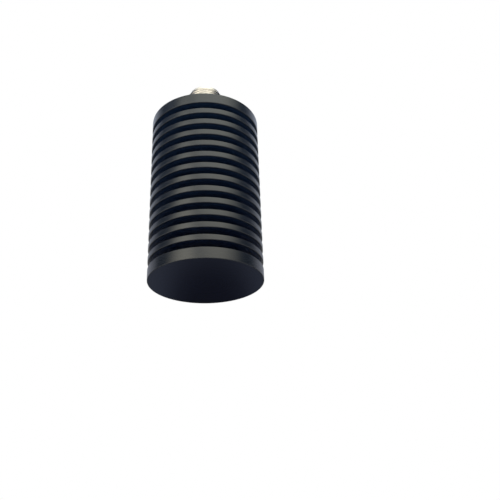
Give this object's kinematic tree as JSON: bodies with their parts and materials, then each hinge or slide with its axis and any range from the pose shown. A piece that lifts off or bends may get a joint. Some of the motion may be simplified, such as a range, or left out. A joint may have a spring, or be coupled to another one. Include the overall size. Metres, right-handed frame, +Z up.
{
  "type": "rf dummy load",
  "caption": "Black finned cylindrical heat sink with a threaded coaxial jack on one end, which turns radio power into heat in a resistor inside.",
  "frame": {"origin": "centre of the closed end's flat face, on which the load stands", "axes": "+Z up along the axis towards the jack; +X is the side of the bore that the resistor faces"},
  "size_m": [0.044, 0.044, 0.088],
  "materials": {
    "black_anodised": "satin",
    "nickel_plate": "polished",
    "white_insulator": "satin",
    "gold_plate": "polished",
    "stainless": "satin",
    "copper": "satin",
    "white_ceramic": "matte",
    "printed_film": "matte",
    "silver_lead": "satin",
    "solder": "satin"
  },
  "bodies": {
    "root": {"heat_sink": "black_anodised", "jack_shell": "nickel_plate", "jack_insulator": "white_insulator", "centre_contact": "gold_plate", "plate_screws": "stainless", "lock_washers": "stainless", "resistor_carrier": "copper", "resistor_flange": "nickel_plate", "resistor_ceramic": "white_ceramic", "resistor_film": "printed_film", "resistor_cover": "white_ceramic", "resistor_tab": "silver_lead", "resistor_screws": "stainless", "solder_bead": "solder"}
  },
  "joints": []
}
